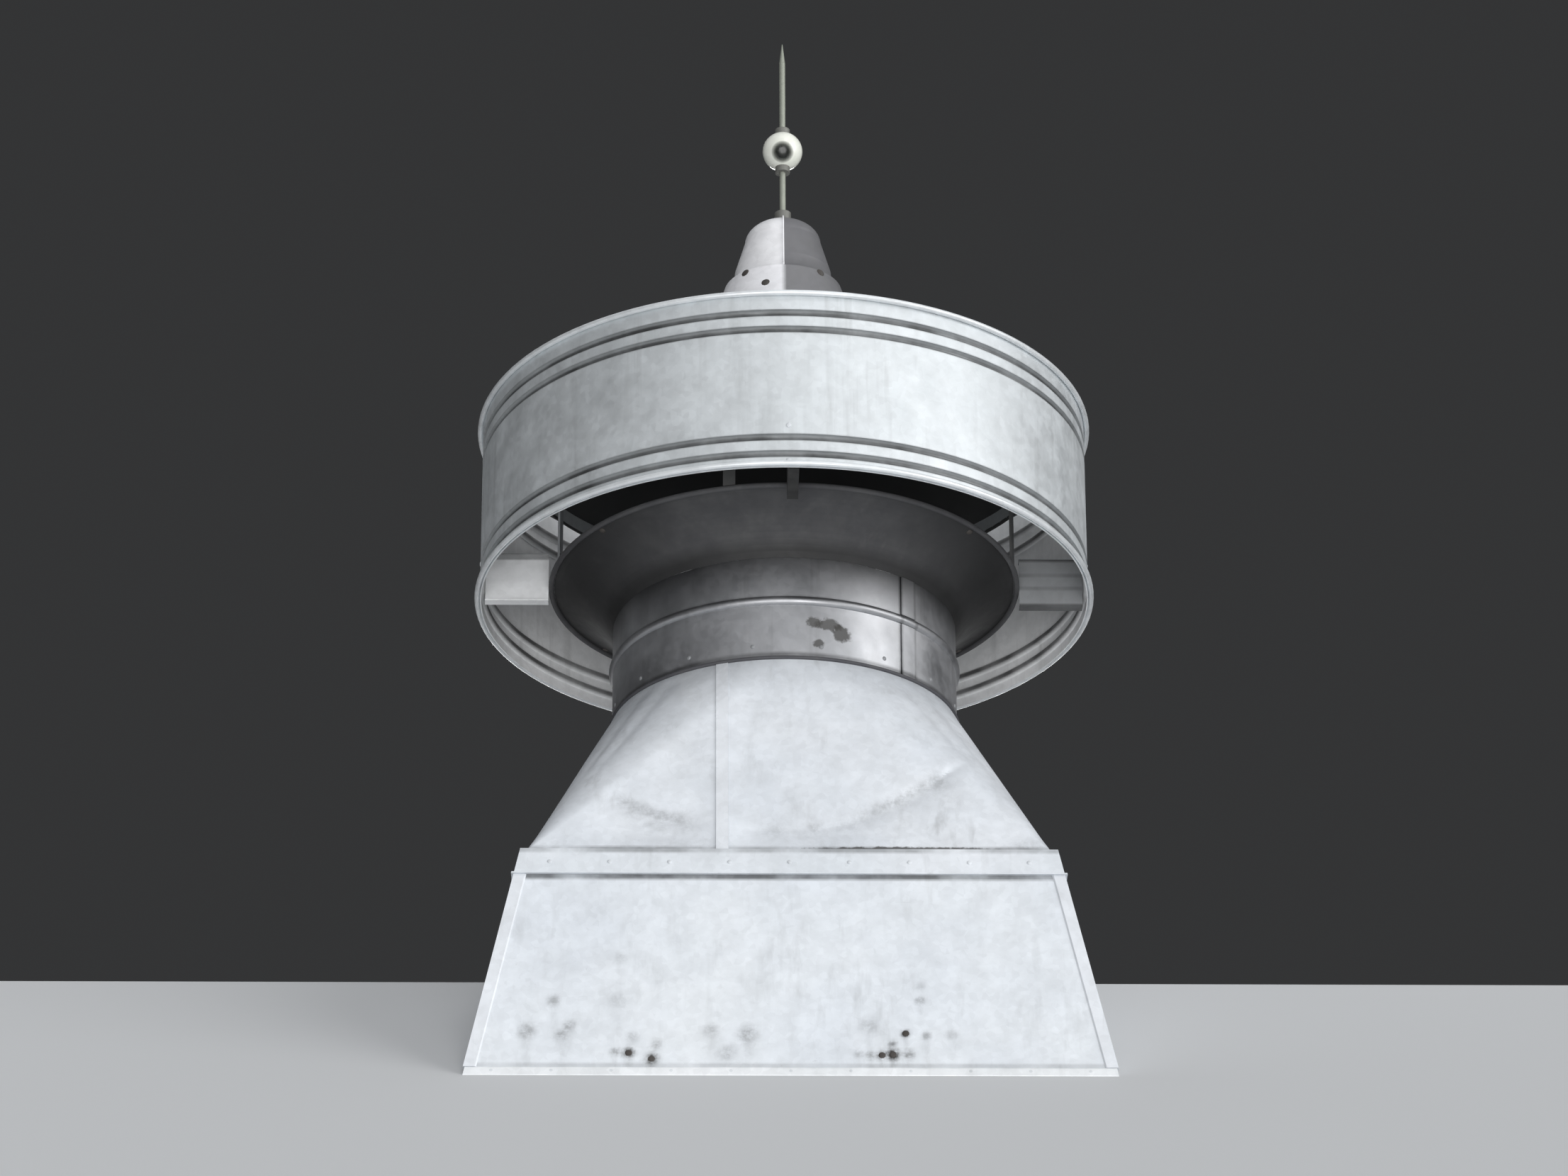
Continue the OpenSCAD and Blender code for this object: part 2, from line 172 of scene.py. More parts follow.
# A low round head: share of its radius and share of its height at each ring
HEAD_RINGS = [(1.0, 0.0), (0.92, 0.45), (0.66, 0.82), (0.3, 0.98)]
HEAD_SIDES = 10
HEAD_SMOOTH = 40


def studs(name, places, radius, height, material):
    """Low round heads at places given as a point on the surface and its normal."""
    bm = bmesh.new()
    for point, normal in places:
        point = Vector(point)
        normal = Vector(normal).normalized()
        across = normal.orthogonal().normalized()
        up = normal.cross(across)
        rings = []
        for wide, high in HEAD_RINGS:
            ring = []
            for k in range(HEAD_SIDES):
                a = 2 * math.pi * k / HEAD_SIDES
                way = across * math.cos(a) + up * math.sin(a)
                ring.append(bm.verts.new(point + way * radius * wide + normal * height * high))
            if rings:
                join_rings(bm, rings[-1], ring)
            rings.append(ring)
        last = rings[-1]
        top = bm.verts.new(point + normal * height)
        for k in range(HEAD_SIDES):
            bm.faces.new([last[k], last[(k + 1) % HEAD_SIDES], top])
        bm.faces.new(rings[0][::-1])
    return finish_mesh(name, bm, material, HEAD_SMOOTH)


# Materials

# Sockets of a map range by name, and of a colour mix by number
SPAN_INPUTS = ("Value", "From Min", "From Max", "To Min", "To Max")
MIX_A, MIX_B, MIX_RESULT = 6, 7, 2


class Nodes:
    """A node tree that is put together step by step."""

    def __init__(self, tree):
        self.tree = tree

    def add(self, kind, **values):
        node = self.tree.nodes.new(kind)
        for key, value in values.items():
            setattr(node, key, value)
        return node

    def feed(self, value, socket):
        """Links a socket to another one, or sets it to a constant, where a colour is opaque."""
        if isinstance(value, bpy.types.NodeSocket):
            self.tree.links.new(value, socket)
        elif isinstance(value, tuple) and len(value) < len(socket.default_value):
            socket.default_value = (*value, 1.0)
        else:
            socket.default_value = value

    def span(self, value, low, high, to_low=0.0, to_high=1.0, kind="LINEAR"):
        """Maps a value from one range to another, and stops at its ends."""
        node = self.add("ShaderNodeMapRange", clamp=True, interpolation_type=kind)
        for key, number in zip(SPAN_INPUTS, (value, low, high, to_low, to_high)):
            self.feed(number, node.inputs[key])
        return node.outputs["Result"]

    def operate(self, kind, operation, a, b):
        """A node that works on two values, each a socket or a constant."""
        node = self.add(kind, operation=operation)
        self.feed(a, node.inputs[0])
        self.feed(b, node.inputs[1])
        return node

    def maths(self, operation, a, b):
        return self.operate("ShaderNodeMath", operation, a, b).outputs["Value"]

    def product(self, first, *others):
        """Several values multiplied with each other."""
        for other in others:
            first = self.maths("MULTIPLY", first, other)
        return first

    def magnitude(self, value):
        return self.maths("ABSOLUTE", value, 0.0)

    def vectors(self, operation, a, b):
        return self.operate("ShaderNodeVectorMath", operation, a, b).outputs["Vector"]

    def dot(self, a, b):
        return self.operate("ShaderNodeVectorMath", "DOT_PRODUCT", a, b).outputs["Value"]

    def axis(self, vector, name):
        """One of the three numbers of a vector."""
        apart = self.add("ShaderNodeSeparateXYZ")
        self.feed(vector, apart.inputs["Vector"])
        return apart.outputs[name]


# A noise: its size in metres, its detail, the values at which it begins and is full, and
# its roughness
Texture = namedtuple("Texture", "size detail low high rough", defaults=[0.55])

# The end of a stain, in its reaches, and how ragged it is
STAIN_EDGE = (0.75, 1.15)
RAGGED = 0.5
RAGGED_EDGE = Texture(0.02, 4, 0.25, 0.75, 0.7)

# The full share of a line's reach, and the blur where a wall ends or faces the other way
LINE_CORE = 0.3
SIDE_BLUR = 0.02
TURN_BLUR = 0.03


class Look(Nodes):
    """A node material that goes by the place on the object."""

    def __init__(self, name):
        self.material = bpy.data.materials.new(name)
        self.material.use_nodes = True
        super().__init__(self.material.node_tree)
        self.shader = self.tree.nodes["Principled BSDF"]
        self.place = self.add("ShaderNodeTexCoord").outputs["Object"]

    def shade(self, values):
        """Gives the shader its values, by the names of its sockets."""
        for name, value in values.items():
            self.feed(value, self.shader.inputs[name])
        return self.material

    def noise(self, size, detail, rough=0.55, stretch=None):
        place = self.place
        if stretch:
            mapping = self.add("ShaderNodeMapping")
            self.feed(place, mapping.inputs["Vector"])
            self.feed(stretch, mapping.inputs["Scale"])
            place = mapping.outputs["Vector"]
        node = self.add("ShaderNodeTexNoise")
        self.feed(place, node.inputs["Vector"])
        self.feed(1 / size, node.inputs["Scale"])
        self.feed(detail, node.inputs["Detail"])
        self.feed(rough, node.inputs["Roughness"])
        return node.outputs["Fac"]

    def patches(self, texture, to_low=0.0, to_high=1.0, stretch=None):
        """A noise between the two ends of its texture."""
        value = self.noise(texture.size, texture.detail, texture.rough, stretch)
        return self.span(value, texture.low, texture.high, to_low, to_high)

    def cells(self, size):
        """Flat grey cells, like the crystals of zinc."""
        node = self.add("ShaderNodeTexVoronoi")
        self.feed(self.place, node.inputs["Vector"])
        self.feed(1 / size, node.inputs["Scale"])
        grey = self.add("ShaderNodeRGBToBW")
        self.feed(node.outputs["Color"], grey.inputs["Color"])
        return grey.outputs["Val"]

    def blend(self, factor, a, b, mode="MIX"):
        node = self.add("ShaderNodeMix", data_type="RGBA", blend_type=mode)
        self.feed(factor, node.inputs["Factor"])
        self.feed(a, node.inputs[MIX_A])
        self.feed(b, node.inputs[MIX_B])
        return node.outputs[MIX_RESULT]

    def tint(self, tone, colour):
        """A colour, made lighter or darker by a tone."""
        grey = self.add("ShaderNodeCombineXYZ")
        for socket in grey.inputs:
            self.feed(tone, socket)
        return self.blend(1.0, colour, grey.outputs["Vector"], "MULTIPLY")

    def bump(self, height, depth, strength, below=None):
        node = self.add("ShaderNodeBump")
        self.feed(height, node.inputs["Height"])
        self.feed(depth, node.inputs["Distance"])
        self.feed(strength, node.inputs["Strength"])
        if below:
            self.feed(below, node.inputs["Normal"])
        return node.outputs["Normal"]

    def normal(self):
        return self.add("ShaderNodeNewGeometry").outputs["Normal"]

    def line(self, distance, reach):
        """1 where a distance is 0, fading to 0 at a reach on both sides."""
        return self.span(self.magnitude(distance), LINE_CORE * reach, reach, 1.0, 0.0)

    def rings(self, heights, reach):
        """Lines round the object at some heights."""
        found = None
        for height in heights:
            above = self.maths("SUBTRACT", self.axis(self.place, "Z"), height)
            line = self.line(above, reach)
            found = self.maths("MAXIMUM", found, line) if found else line
        return found

    def strip_edges(self, azimuth, middle, half_width, reach):
        """Lines along both edges of an upright strip that stands at an azimuth from the front."""
        out_x, out_y, _ = level_way(math.radians(azimuth))
        beside = self.maths("SUBTRACT", self.dot(self.place, (-out_y, out_x, 0)), middle)
        from_edge = self.maths("SUBTRACT", self.magnitude(beside), half_width)
        same_side = self.span(self.dot(self.place, (out_x, out_y, 0)), 0.0, SIDE_BLUR)
        return self.product(self.line(from_edge, reach), same_side)

    def near(self, centre, reach):
        """1 close to a place on the object, with a ragged edge where it ends."""
        away = self.vectors("SUBTRACT", self.place, centre)
        node = self.add("ShaderNodeVectorMath", operation="LENGTH")
        self.feed(self.vectors("DIVIDE", away, reach), node.inputs[0])
        ragged = self.patches(RAGGED_EDGE, -RAGGED, RAGGED)
        return self.span(self.maths("ADD", node.outputs["Value"], ragged), *STAIN_EDGE, 1.0, 0.0)

    def outside(self):
        """1 on faces that look away from the axis and 0 on faces that look towards it."""
        outwards = self.vectors("MULTIPLY", self.place, (1, 1, 0))
        return self.span(self.dot(outwards, self.normal()), -TURN_BLUR, TURN_BLUR)


# Colours of rust, of old dark marks and painted shade, of grime, and of soot and painted shade
RUST = (0.085, 0.056, 0.042)
MARK_AND_SHADE = (0.05, 0.048, 0.044)
GRIME = (0.20, 0.20, 0.19)
SOOT_AND_SHADE = (0.025, 0.025, 0.025)

# Galvanised sheet: its clouds, mottling, crystals, dirt, specks and dents
CLOUDS = Texture(0.34, 5, 0.32, 0.70)
MOTTLE, MOTTLE_STRENGTH = Texture(0.06, 5, 0.35, 0.75, 0.6), 0.18
CRYSTAL_SIZE, CRYSTAL_RANGE = 0.014, (0.2, 0.8)
SPANGLE = 0.03
DIRT_RUNS, DIRT_RUN_STRETCH = Texture(0.03, 4, 0.55, 0.78), (1, 1, 0.06)
DIRT_PATCHES = Texture(0.25, 3, 0.35, 0.65)
GROOVE_PATCHES = Texture(0.13, 4, 0.32, 0.62)
STRIP_PATCHES, STRIP_LEAST = Texture(0.10, 3, 0.3, 0.65), 0.4
SPECK_SIZE, SPECK_DETAIL, SPECK_ROUGH = 0.016, 6, 0.7
RUST_SPECKS, RUST_PATCHES = (0.66, 0.72), Texture(0.19, 3, 0.52, 0.66)
MARK_SPECKS, MARK_RANGE = (0.34, 0.60), (0.35, 1.25)
PATCH_STRENGTH = 0.85
STAIN_ROUGHNESS = 0.85
GLOSS_PATCHES = Texture(0.07, 5, 0.3, 0.7)
GLOSS_RANGE = (-0.06, 0.10)
CRYSTAL_GLOSS = 0.03
DENT_SIZE, DENT_DETAIL, DENT_DEPTH = 0.16, 2, 0.006
GRAIN_SIZE, GRAIN_DETAIL, GRAIN_ROUGH, GRAIN_DEPTH = 0.005, 4, 0.6, 0.0003
RELIEF = 0.35
INNER_METALLIC = 0.08
HALF_BLUR = 0.006
FACING_DOWN = (-0.15, -0.5)


def weathered(name, pale, dull, metallic=0.25, roughness=0.5, streaks=0.35, rust=0.0,
              marks=False, patches=(), grooves=(), strip=None, climb=None, flanks=None,
              shaded_underside=False, right_half=None, inner=None):
    """Galvanised sheet: crystal spangle, cloudy dulling, vertical dirt runs and rust.

    marks shows the marks that the mesh carries (rust and dirt, and painted shade along the
    transition's crease), and patches gives places and reaches of more. Dirt and painted shade lie
    in grooves, each a list of heights, a reach, an amount and its least share, and along the edges
    of a strip. A soot-and-shade colour covers what lies above climb, beside flanks (painted shade)
    or, if shaded_underside, looks down (painted shade). right_half and inner are other colours,
    for +X and for faces towards the axis; inner is painted light.
    """
    look = Look(name)
    colour = look.blend(look.patches(CLOUDS), pale, dull)
    if right_half:
        right = look.span(look.axis(look.place, "X"), -HALF_BLUR, HALF_BLUR)
        colour = look.blend(right, colour, right_half)
    # Painted light: faces towards the axis get a paler colour of their own
    if inner:
        outside = look.outside()
        colour = look.blend(outside, inner, colour)
        metallic = look.span(outside, 0.0, 1.0, INNER_METALLIC, metallic)
    mottle = look.product(look.patches(MOTTLE), MOTTLE_STRENGTH)
    colour = look.blend(mottle, colour, GRIME)
    crystal = look.cells(CRYSTAL_SIZE)
    colour = look.tint(look.span(crystal, *CRYSTAL_RANGE, 1 - SPANGLE, 1 + SPANGLE), colour)
    runs = look.patches(DIRT_RUNS, stretch=DIRT_RUN_STRETCH)
    colour = look.blend(look.product(runs, look.patches(DIRT_PATCHES), streaks), colour, GRIME)

    # Lines at grooves and along a strip's edges: dirt and painted shade
    for heights, reach, amount, least in grooves:
        uneven = look.patches(GROOVE_PATCHES, least)
        colour = look.blend(look.product(look.rings(heights, reach), uneven, amount), colour, SOOT_AND_SHADE)
    if strip:
        *edges, amount = strip
        uneven = look.patches(STRIP_PATCHES, STRIP_LEAST)
        colour = look.blend(look.product(look.strip_edges(*edges), uneven, amount), colour, SOOT_AND_SHADE)
    # Darkening that rises towards climb's top
    if climb:
        low, high, amount = climb
        above = look.span(look.axis(look.place, "Z"), low, high)
        colour = look.blend(look.product(above, amount), colour, SOOT_AND_SHADE)
    # Painted shade: faces that look down are darkened
    if shaded_underside:
        downwards = look.span(look.axis(look.normal(), "Z"), *FACING_DOWN)
        colour = look.blend(downwards, colour, SOOT_AND_SHADE)
    # Painted shade: the sides away from the front are darkened
    if flanks:
        low, high, amount = flanks
        aside = look.magnitude(look.axis(look.place, "X"))
        colour = look.blend(look.span(aside, low, high, 0.0, amount), colour, SOOT_AND_SHADE)

    stains_and_shade = []
    speck = look.noise(SPECK_SIZE, SPECK_DETAIL, SPECK_ROUGH)
    if rust:
        spots = look.span(speck, *RUST_SPECKS)
        stains_and_shade.append((look.product(spots, look.patches(RUST_PATCHES), rust), RUST))
    # The mesh's marks: rust and dirt, and on the transition painted shade along its crease
    if marks:
        painted = look.add("ShaderNodeAttribute", attribute_name="rust").outputs["Fac"]
        broken = look.span(speck, *MARK_SPECKS, *MARK_RANGE)
        stains_and_shade.append((look.product(painted, broken), MARK_AND_SHADE))
    for centre, reach in patches:
        stains_and_shade.append((look.product(look.near(centre, reach), PATCH_STRENGTH), MARK_AND_SHADE))

    least, most = (roughness + change for change in GLOSS_RANGE)
    roughened = look.patches(GLOSS_PATCHES, least, most)
    gloss = look.span(crystal, 0.0, 1.0, -CRYSTAL_GLOSS, CRYSTAL_GLOSS)
    roughened = look.maths("ADD", roughened, gloss)
    stain_and_shade = 0.0
    for cover, tint in stains_and_shade:
        cover = look.span(cover, 0.0, 1.0)
        colour = look.blend(cover, colour, tint)
        stain_and_shade = look.maths("MAXIMUM", cover, stain_and_shade)
    if stains_and_shade:
        roughened = look.maths("MAXIMUM", roughened, look.product(stain_and_shade, STAIN_ROUGHNESS))
        metallic = look.product(look.maths("SUBTRACT", 1.0, stain_and_shade), metallic)
    dents = look.bump(look.noise(DENT_SIZE, DENT_DETAIL), DENT_DEPTH, RELIEF)
    grain = look.bump(look.noise(GRAIN_SIZE, GRAIN_DETAIL, GRAIN_ROUGH), GRAIN_DEPTH, RELIEF,
                      dents)
    return look.shade({"Base Color": colour, "Metallic": metallic,
                       "Roughness": roughened, "Normal": grain})


# The dark smear on the front of the throat: places and reaches
SMEAR = [((0.058, -0.38, 1.166), (0.018, 0.2, 0.012)),
         ((0.090, -0.38, 1.161), (0.026, 0.2, 0.014)),
         ((0.118, -0.38, 1.142), (0.018, 0.2, 0.020)),
         ((0.069, -0.38, 1.114), (0.014, 0.2, 0.010))]

# Dirt and painted shade along the right half of the transition's foot, where it meets the cleat:
# its place and reach
FOOT_DIRT_AND_SHADE = [((0.23, -FOOT_HALF, FOOT_Z + 0.004), (0.19, 0.04, 0.008))]

# The line under the cleat is a painted shadow under its lower edge, and the line above the hem is
# dirt and painted shade
skirt_metal = weathered(
    "skirt_metal", (0.82, 0.855, 0.89), (0.74, 0.78, 0.83), metallic=0.15, streaks=0.30,
    rust=0.3, marks=True,
    grooves=[([CLEAT_LOW - 0.004], 0.012, 0.80, 0.3), ([0.024], 0.009, 0.30, 0.4)])
# The line along the cleat's top edge is dirt and painted shade
cleat_metal = weathered(
    "cleat_metal", (0.81, 0.84, 0.88), (0.72, 0.76, 0.80), metallic=0.15, streaks=0.30,
    grooves=[([SKIRT_TOP], 0.010, 0.5, 0.0)])
# The transition's line at its foot and the lines along its seam strip are dirt and painted shade,
# and it darkens towards the neck
transition_metal = weathered(
    "transition_metal", (0.82, 0.85, 0.89), (0.73, 0.77, 0.82), metallic=0.15, streaks=0.40,
    marks=True, patches=FOOT_DIRT_AND_SHADE, grooves=[([FOOT_Z + 0.003], 0.013, 0.65, 0.0)],
    strip=(0, SEAM_X, SEAM_HALF, 0.006, 0.06), climb=(NECK_Z - 0.09, NECK_Z, 0.16))
joint_metal = weathered(
    "joint_metal", (0.10, 0.10, 0.11), (0.06, 0.06, 0.07), metallic=0.2, roughness=0.65,
    streaks=0.2)
# The throat's lines at its bead and collar and along both edges of its seam strip are dirt and
# painted shade, and its upper part is darkened as painted shade under the mouth, with soot
throat_metal = weathered(
    "throat_metal", (0.62, 0.62, 0.64), (0.48, 0.49, 0.51), metallic=0.95, roughness=0.44,
    streaks=0.6, patches=SMEAR,
    grooves=[([THROAT_BEAD + 0.005], 0.010, 0.5, 0.5), ([NECK_Z + 0.012], 0.010, 0.6, 0.5)],
    strip=(44, 0.0, 0.022, 0.007, 0.55), climb=(THROAT_BEAD - 0.02, THROAT_TOP, 0.84))
# The mouth is near-black all over. The ring where it meets the throat is soot and painted shade,
# and its sides, away from the front, are darkened as painted shade
mouth_metal = weathered(
    "mouth_metal", (0.078, 0.078, 0.082), (0.054, 0.054, 0.057), metallic=0.45,
    roughness=0.52, streaks=0.2, grooves=[([THROAT_TOP], 0.036, 0.9, 0.8)],
    flanks=(0.24, 0.46, 0.88))
# The band's faces towards the axis are painted light, paler and less metallic than its outside,
# and the lines at its beads are dirt and painted shade
band_metal = weathered(
    "band_metal", (0.79, 0.825, 0.845), (0.71, 0.745, 0.765), metallic=0.65, roughness=0.56,
    streaks=0.35, grooves=[(BEAD_HEIGHTS, 0.011, 0.92, 0.7)], inner=(0.965, 0.97, 0.975))
# The band's rolled edges are paler than the band: a painted highlight
edge_metal = weathered(
    "edge_metal", (0.88, 0.91, 0.93), (0.80, 0.83, 0.85), metallic=0.4, roughness=0.42,
    streaks=0.15)
hem_metal = weathered(
    "hem_metal", (0.88, 0.90, 0.92), (0.80, 0.83, 0.85), metallic=0.15, roughness=0.45,
    streaks=0.15)
rim_metal = weathered(
    "rim_metal", (0.085, 0.085, 0.09), (0.05, 0.05, 0.055), metallic=0.2, roughness=0.7,
    streaks=0.2)
seam_metal = weathered(
    "seam_metal", (0.83, 0.86, 0.90), (0.75, 0.78, 0.82), metallic=0.15, streaks=0.25)
# Painted light: one cap strut wears this pale copy while the others are near-black
brace_metal = weathered(
    "brace_metal", (0.66, 0.68, 0.70), (0.52, 0.54, 0.56), metallic=0.2, roughness=0.55,
    rust=0.6)
# Lit copy of the brackets' metal, for the left bracket: painted light; the line at its top edge is
# painted shade
pale_brace_metal = weathered(
    "pale_brace_metal", (0.94, 0.95, 0.96), (0.86, 0.87, 0.88), metallic=0.05, roughness=0.5,
    grooves=[([BRACKET_HIGH], 0.008, 0.8, 0.6)])
# Shaded copy of the brackets' metal, for the right bracket: painted shade, with painted shade
# lines at its edges and folds; the throat's rivets wear it too
grey_metal = weathered(
    "grey_metal", (0.34, 0.35, 0.36), (0.24, 0.25, 0.26), metallic=0.2, roughness=0.55,
    rust=0.6,
    grooves=[([BRACKET_LOW, BRACKET_HIGH], 0.009, 0.85, 0.7),
             ([BRACKET_LOW + fold for fold in BRACKET_FOLDS], 0.007, 0.4, 0.3)])
# Near-black copy for the front bracket: painted shade
shaded_bracket_metal = weathered(
    "shaded_bracket_metal", (0.028, 0.028, 0.028), (0.018, 0.018, 0.018), metallic=0.1, roughness=0.8,
    streaks=0.0, rust=0.3)
# Near-black: painted shade on the cap struts and the back bracket
strut_metal = weathered(
    "strut_metal", (0.12, 0.12, 0.12), (0.07, 0.07, 0.07), metallic=0.3, roughness=0.6,
    rust=0.6)
# The cap's faces that look down are darkened: painted shade
cap_metal = weathered(
    "cap_metal", (0.74, 0.77, 0.79), (0.62, 0.65, 0.67), metallic=0.35, streaks=0.3,
    shaded_underside=True)
# The finial's left half and seam are near white, and its right half and the right half of its foot
# are much darker
bright_metal = weathered(
    "bright_metal", (0.96, 0.96, 0.98), (0.91, 0.91, 0.94), metallic=0.05, roughness=0.42,
    streaks=0.15)
foot_metal = weathered(
    "foot_metal", (0.96, 0.96, 0.98), (0.90, 0.90, 0.94), metallic=0.05, roughness=0.42,
    streaks=0.3, right_half=(0.19, 0.19, 0.20))
dark_half_metal = weathered(
    "dark_half_metal", (0.19, 0.19, 0.20), (0.12, 0.12, 0.13), metallic=0.3, roughness=0.55,
    streaks=0.5)
socket_metal = weathered(
    "socket_metal", (0.24, 0.24, 0.22), (0.16, 0.16, 0.15), metallic=0.4, roughness=0.55,
    rust=0.8)
rod_metal = weathered(
    "rod_metal", (0.40, 0.42, 0.36), (0.30, 0.32, 0.27), metallic=0.4, roughness=0.5)
rivet_metal = weathered(
    "rivet_metal", (0.76, 0.79, 0.82), (0.64, 0.67, 0.70), metallic=0.15, roughness=0.5,
    rust=0.3)
dark_rivet_metal = weathered(
    "dark_rivet_metal", (0.07, 0.06, 0.055), (0.04, 0.035, 0.03), metallic=0.2,
    roughness=0.7)


# Glass of the ball: its colours (a pale rim that is a painted reflection and a painted dark
# middle), how clear it is in the middle and at the edge, and its relief
RIM_PALE, RIM_DULL = (0.95, 0.96, 0.88), (0.86, 0.88, 0.79)
PAINTED_DARK_MIDDLE = (0.09, 0.10, 0.08)
SLANT_BLEND, RIM_SLANT = 0.35, (0.03, 0.13)
CLEAR_MIDDLE, CLEAR_EDGE = 0.90, 0.05
GLASS_IOR = 1.48
GLASS_CLOUDS = Texture(0.03, 4, 0.35, 0.7)
GLASS_GLOSS, GLASS_ROUGHNESS = Texture(0.02, 3, 0.3, 0.7), (0.16, 0.26)
GLASS_RELIEF = (0.0006, 0.5)


def ball_glass():
    """Pressed glass: pale where it is seen at a slant, a painted reflection, and clearer with a
    painted dark tint in the middle.
    """
    look = Look("ball_glass")
    slant = look.add("ShaderNodeLayerWeight")
    look.feed(SLANT_BLEND, slant.inputs["Blend"])
    pale_rim = look.span(slant.outputs["Facing"], *RIM_SLANT)
    pale = look.blend(look.patches(GLASS_CLOUDS), RIM_PALE, RIM_DULL)
    ripples = look.noise(GLASS_GLOSS.size, GLASS_GLOSS.detail)
    return look.shade({
        "Base Color": look.blend(pale_rim, PAINTED_DARK_MIDDLE, pale),
        "Transmission Weight": look.span(pale_rim, 0.0, 1.0, CLEAR_MIDDLE, CLEAR_EDGE),
        "IOR": GLASS_IOR,
        "Roughness": look.patches(GLASS_GLOSS, *GLASS_ROUGHNESS),
        "Normal": look.bump(ripples, *GLASS_RELIEF)})


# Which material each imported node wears; the longest start of its name that is listed counts
WEARS = {
    "skirt": skirt_metal, "hip_seam": seam_metal, "cleat": cleat_metal,
    "transition": transition_metal, "transition_seam": seam_metal,
    "throat": throat_metal, "throat_collar": joint_metal,
    "flared_mouth": mouth_metal, "mouth_rim": rim_metal,
    "wind_band": band_metal, "band_seam": seam_metal,
    "band_top_roll": edge_metal, "band_bottom_roll": edge_metal,
    # The band's brackets and the cap's struts wear lit and shaded copies of one metal: painted
    # light and shade
    "band_bracket": pale_brace_metal, "band_bracket_1": shaded_bracket_metal,
    "band_bracket_2": grey_metal, "band_bracket_3": strut_metal,
    "cap": cap_metal, "cap_strut": strut_metal, "cap_strut_3": brace_metal,
    "finial_foot": foot_metal, "finial_left": bright_metal,
    "finial_right": dark_half_metal, "finial_seam": bright_metal,
    "rod_socket": socket_metal, "ball_collar": socket_metal,
    "lightning_rod": rod_metal, "rod_point": rod_metal, "glass_ball": ball_glass(),
}

for node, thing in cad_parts.items():
    start = max((key for key in WEARS if node.startswith(key)), key=len)
    thing.data.materials.clear()
    thing.data.materials.append(WEARS[start])


# Sides of the base

# Rusty and dirty marks on the front: place along it, height, size, strength
FRONT_MARKS = [
    (-0.331, 0.054, 0.013, 1.00), (-0.358, 0.057, 0.011, 0.50), (-0.284, 0.040, 0.014, 1.00),
    (-0.275, 0.074, 0.010, 0.50), (0.208, 0.052, 0.016, 1.00), (0.186, 0.050, 0.012, 0.80),
    (0.162, 0.049, 0.012, 0.55), (0.138, 0.052, 0.011, 0.35), (0.240, 0.052, 0.013, 0.60),
    (0.208, 0.076, 0.010, 0.60), (0.235, 0.102, 0.010, 0.80), (0.266, 0.181, 0.010, 0.60),
    (0.268, 0.215, 0.009, 0.25), (0.277, 0.097, 0.010, 0.45), (0.330, 0.100, 0.013, 0.28),
    (0.161, 0.121, 0.020, 0.28), (-0.088, 0.099, 0.022, 0.42), (-0.162, 0.107, 0.016, 0.36),
    (-0.129, 0.054, 0.020, 0.32), (-0.324, 0.092, 0.014, 0.32), (-0.354, 0.181, 0.018, 0.24),
    (-0.351, 0.283, 0.016, 0.22), (-0.468, 0.096, 0.014, 0.52), (-0.452, 0.120, 0.012, 0.50),
    (-0.540, 0.105, 0.020, 0.46), (-0.486, 0.180, 0.014, 0.38),
]

# How sharply a mark ends
MARK_END = 1.5

# Chance marks on the other sides: how many, how far along and up, how large and strong, how
# far over the cut edge and how high at most
MARK_SEED = 40
MARK_COUNT = 14
MARK_REACH = 0.58
MARK_HEIGHTS = (0.04, 0.14)
MARK_SIZES = (0.009, 0.018)
MARK_STRENGTHS = (0.25, 0.35, 0.5, 0.9)
MARK_CLEAR = 0.02
MARK_TOP = SKIRT_TOP - 0.09

# A dirt run under a mark: its length and half width in sizes of the mark, and its share
RUN_LENGTH = 7
RUN_WIDTH = 0.5
RUN_SHARE = 0.4

# Shallow waves in the sides: their depth, their numbers in a metre along and up, what sets
# the sides apart, and how far from the edges they begin and are full
SIDE_WAVE = 0.0045
WAVES_ALONG, WAVES_UP = 2.2, 2.6
SIDE_APART = (7, 3.1)
SIDE_RIPPLE, RIPPLE_RATE = 0.18, 3.1
TOP_FADE = (0.05, 0.09)
HIP_FADE = (0.03, 0.12)
FOOT_FADE = (0.02, 0.10)

SIDE_COLUMNS, SIDE_ROWS = 200, 72
SHEET_SMOOTH = 30


def marks_for(quarter):
    """Places along a side, heights, sizes and strengths of its marks."""
    if quarter == 0:
        return FRONT_MARKS
    chance = random.Random(MARK_SEED + quarter)
    marks = []
    while len(marks) < MARK_COUNT:
        along = chance.uniform(-MARK_REACH, MARK_REACH)
        height = chance.uniform(*MARK_HEIGHTS)
        cut = (SEAT_HALF - abs(along)) * NOTCH_SLOPE
        if quarter in (1, 3) and height < cut + MARK_CLEAR:
            height += cut
        if height < MARK_TOP:
            marks.append((along, height, chance.uniform(*MARK_SIZES),
                          chance.choice(MARK_STRENGTHS)))
    return marks


def skirt_lowest(v, quarter, inset):
    """Height of a side's lower edge, for a face set in from the outside."""
    half = BASE_HALF - GAP - inset
    if quarter in (0, 2):
        return (SEAT_HALF - BASE_HALF + inset) * NOTCH_SLOPE / (1 - LEAN_RATE * NOTCH_SLOPE)
    v = abs(v)
    return (SEAT_HALF - v * half) * NOTCH_SLOPE / (1 - v * LEAN_RATE * NOTCH_SLOPE)


